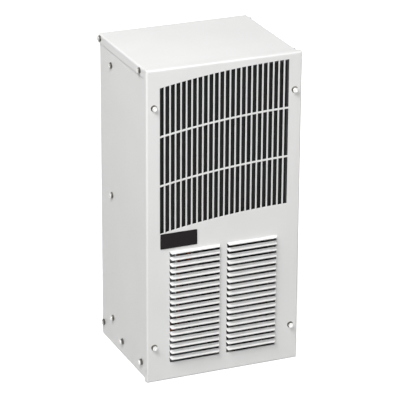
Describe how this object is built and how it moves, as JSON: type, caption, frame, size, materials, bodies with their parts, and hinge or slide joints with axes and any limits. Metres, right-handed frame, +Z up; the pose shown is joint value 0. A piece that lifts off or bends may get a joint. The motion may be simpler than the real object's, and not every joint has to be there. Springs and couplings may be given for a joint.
{
  "type": "enclosure cooling unit",
  "caption": "Slim upright compressor cooling unit that bolts to an electrical enclosure's wall: slotted arched air intake above two banks of louvres, screwed sheet casing, working insides.",
  "frame": {"origin": "middle of the width and of the depth, at the level of the base pads and the front cover's lower edge", "axes": "+X to the right seen from the front, +Y from the front cover to the enclosure, +Z up"},
  "size_m": [0.2196, 0.1843, 0.432],
  "materials": {
    "white_paint": "light grey-white textured powder coat",
    "black_plate": "satin black foil",
    "galvanised_sheet": "galvanised",
    "plated_steel": "zinc plated",
    "bearing_steel": "ground",
    "guard_wire": "nickel plated wire",
    "foam": "closed-cell foam",
    "filter_cloth": "open-pore filter foam",
    "black_plastic": "glass-filled, matt",
    "grey_plastic": "moulded, matt",
    "fin_aluminium": "mill finish",
    "capacitor_can": "drawn can",
    "copper": "drawn copper tube",
    "motor_core": "laminated steel with windings",
    "black_paint": "gloss black enamel",
    "black_rubber": "moulded rubber"
  },
  "bodies": {
    "cabinet": {"front_cover": "white_paint", "nameplate": "black_plate", "top_cover": "white_paint", "left_side_panel": "white_paint", "right_side_panel": "white_paint", "rear_panel": "galvanised_sheet", "base_pan": "galvanised_sheet", "partition": "galvanised_sheet", "partition_insulation": "foam", "mounting_gasket": "foam", "mounting_nuts": "plated_steel", "front_screws": "plated_steel", "top_screws": "plated_steel", "side_screws": "plated_steel", "filter_frame": "black_plastic", "filter_pad": "filter_cloth", "fan_shroud": "galvanised_sheet", "condenser_fins": "fin_aluminium", "condenser_end_plates": "galvanised_sheet", "condenser_tube": "copper", "condenser_fan_housing": "black_plastic", "condenser_fan_spider": "black_plastic", "condenser_fan_bearings": "bearing_steel", "condenser_fan_stator": "motor_core", "condenser_fan_screws": "plated_steel", "evaporator_fins": "fin_aluminium", "evaporator_end_plates": "galvanised_sheet", "evaporator_tube": "copper", "evaporator_fan_housing": "black_plastic", "evaporator_fan_spider": "black_plastic", "evaporator_fan_bearings": "bearing_steel", "evaporator_fan_stator": "motor_core", "evaporator_fan_screws": "plated_steel", "return_air_guard": "guard_wire", "condensate_tray": "grey_plastic", "drain_tube": "grey_plastic", "compressor_shell": "black_paint", "compressor_feet": "black_paint", "compressor_grommets": "black_rubber", "compressor_bolts": "plated_steel", "compressor_terminal_cover": "black_plastic", "accumulator": "black_paint", "discharge_line": "copper", "suction_line": "copper", "liquid_line": "copper", "filter_drier": "copper", "capillary_tube": "copper", "control_box": "galvanised_sheet", "run_capacitor": "capacitor_can", "compressor_relay": "grey_plastic", "terminal_block": "grey_plastic", "thermostat_body": "grey_plastic", "power_inlet_bushing": "black_rubber"},
    "condenser_fan_rotor": {"condenser_fan_impeller": "black_plastic"},
    "evaporator_fan_rotor": {"evaporator_fan_impeller": "black_plastic"},
    "thermostat_dial": {"thermostat_knob": "black_plastic"}
  },
  "joints": [
    {"name": "condenser_fan_spin", "type": "hinge", "parent": "cabinet", "child": "condenser_fan_rotor", "pos_m": [0, -0.02089, 0.3052], "axis": [0, 1, 0], "continuous": true},
    {"name": "evaporator_fan_spin", "type": "hinge", "parent": "cabinet", "child": "evaporator_fan_rotor", "pos_m": [0, 0.07241, 0.3457], "axis": [0, 1, 0], "continuous": true},
    {"name": "thermostat_turn", "type": "hinge", "parent": "cabinet", "child": "thermostat_dial", "pos_m": [0.078, 0.08891, 0.2997], "axis": [0, -1, 0], "range_deg": [0, 270]}
  ]
}
